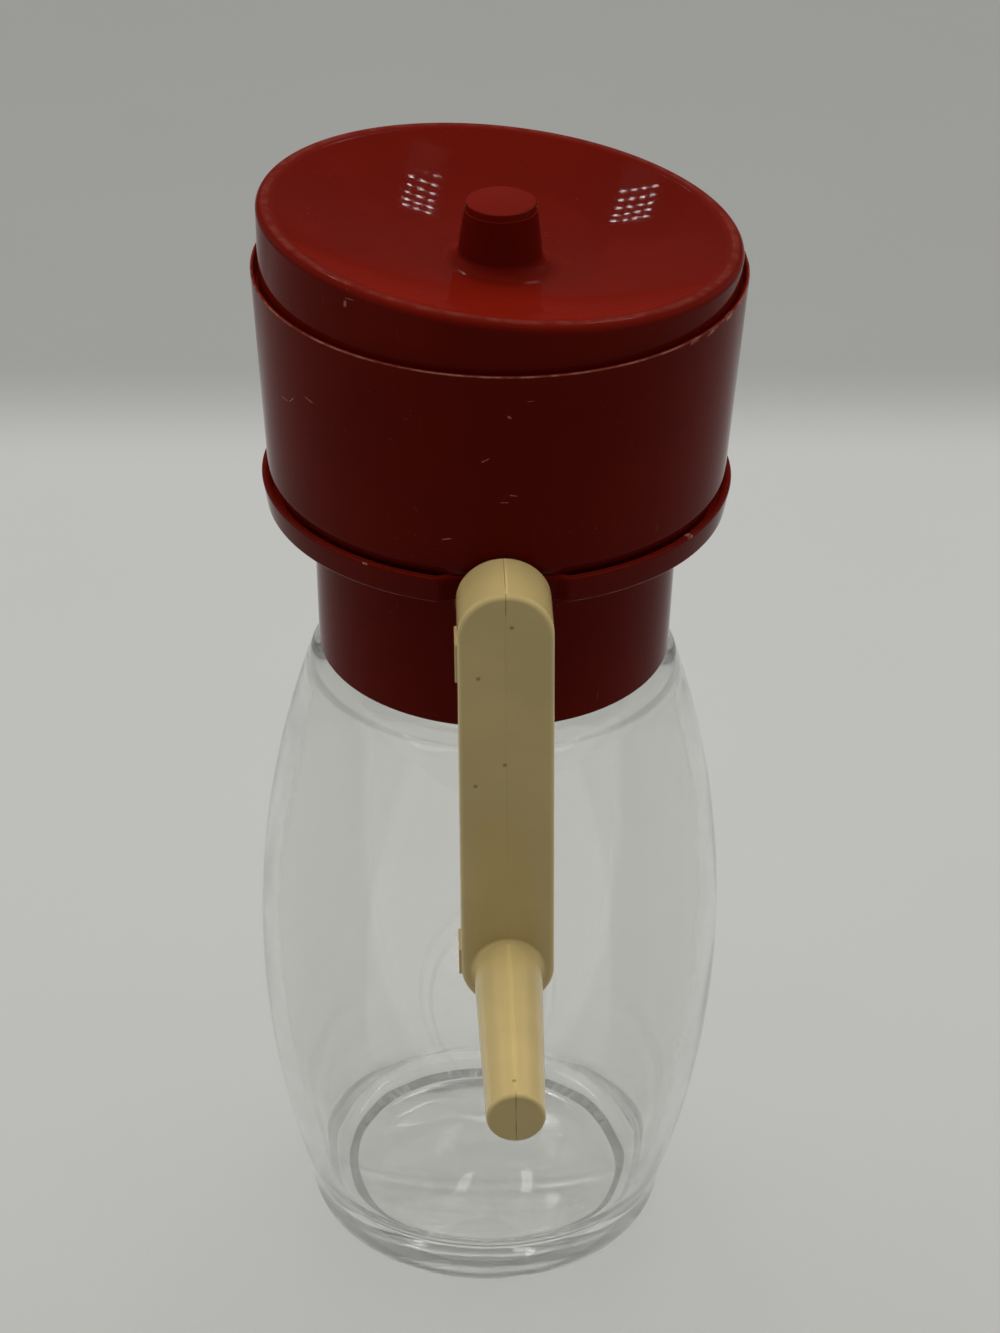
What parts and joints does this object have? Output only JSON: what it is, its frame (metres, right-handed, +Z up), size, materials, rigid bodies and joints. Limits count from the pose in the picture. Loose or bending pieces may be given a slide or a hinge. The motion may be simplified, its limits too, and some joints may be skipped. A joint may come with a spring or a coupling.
{
  "type": "nut grinder",
  "caption": "Hand-cranked nut grinder: bowed glass jar, red screw-on head with hopper and slanted dished lid, ivory side crank turning star blades between fixed combs.",
  "frame": {"origin": "on the table, at the jar's upright axis", "axes": "+Z up along the jar's axis, -Y towards the crank's handle"},
  "size_m": [0.0826, 0.1321, 0.2037],
  "materials": {
    "clear_glass": "clear pressed glass",
    "red_plastic": "glossy moulded plastic, lightly worn",
    "ivory_plastic": "aged ivory moulding, satin",
    "seal_ring": "soft matt",
    "bush_plastic": "natural nylon",
    "blade_steel": "stamped, tumbled",
    "comb_steel": "stamped, tumbled",
    "sleeve_steel": "turned",
    "shaft_steel": "drawn bar",
    "screw_steel": "plated",
    "clip_steel": "black spring steel"
  },
  "bodies": {
    "jar": {"jar": "clear_glass"},
    "seal": {"jar_seal": "seal_ring"},
    "head": {"collar_base": "red_plastic", "hopper": "red_plastic", "front_bush": "bush_plastic", "rear_bush": "bush_plastic", "comb_coarse": "comb_steel", "comb_fine": "comb_steel", "comb_screws": "screw_steel"},
    "rotor": {"crank": "ivory_plastic", "rotor_shaft": "shaft_steel", "star_blade_1": "blade_steel", "star_blade_2": "blade_steel", "star_blade_3": "blade_steel", "star_blade_4": "blade_steel", "star_blade_5": "blade_steel", "spacer_1": "sleeve_steel", "spacer_2": "sleeve_steel", "spacer_3": "sleeve_steel", "spacer_4": "sleeve_steel", "spacer_5": "sleeve_steel", "spacer_6": "sleeve_steel", "retaining_clip": "clip_steel", "thrust_washer": "bush_plastic"},
    "lid": {"lid": "red_plastic"}
  },
  "joints": [
    {"name": "head_lift", "type": "slide", "parent": "jar", "child": "seal", "axis": [0, 0, 1], "range_m": [0, 0.0076]},
    {"name": "head_unscrew", "type": "hinge", "parent": "seal", "child": "head", "pos_m": [0, 0, 0.1375], "axis": [0, 0, 1], "range_deg": [0, 540]},
    {"name": "crank_turn", "type": "hinge", "parent": "head", "child": "rotor", "pos_m": [0, 0, 0.1511], "axis": [0, -1, 0], "continuous": true},
    {"name": "lid_lift", "type": "slide", "parent": "head", "child": "lid", "axis": [0, 0, 1], "range_m": [0, 0.05]}
  ],
  "couplings": [
    {"joint": "head_lift", "follows": "head_unscrew", "m_per_rad": 0.00079577}
  ]
}
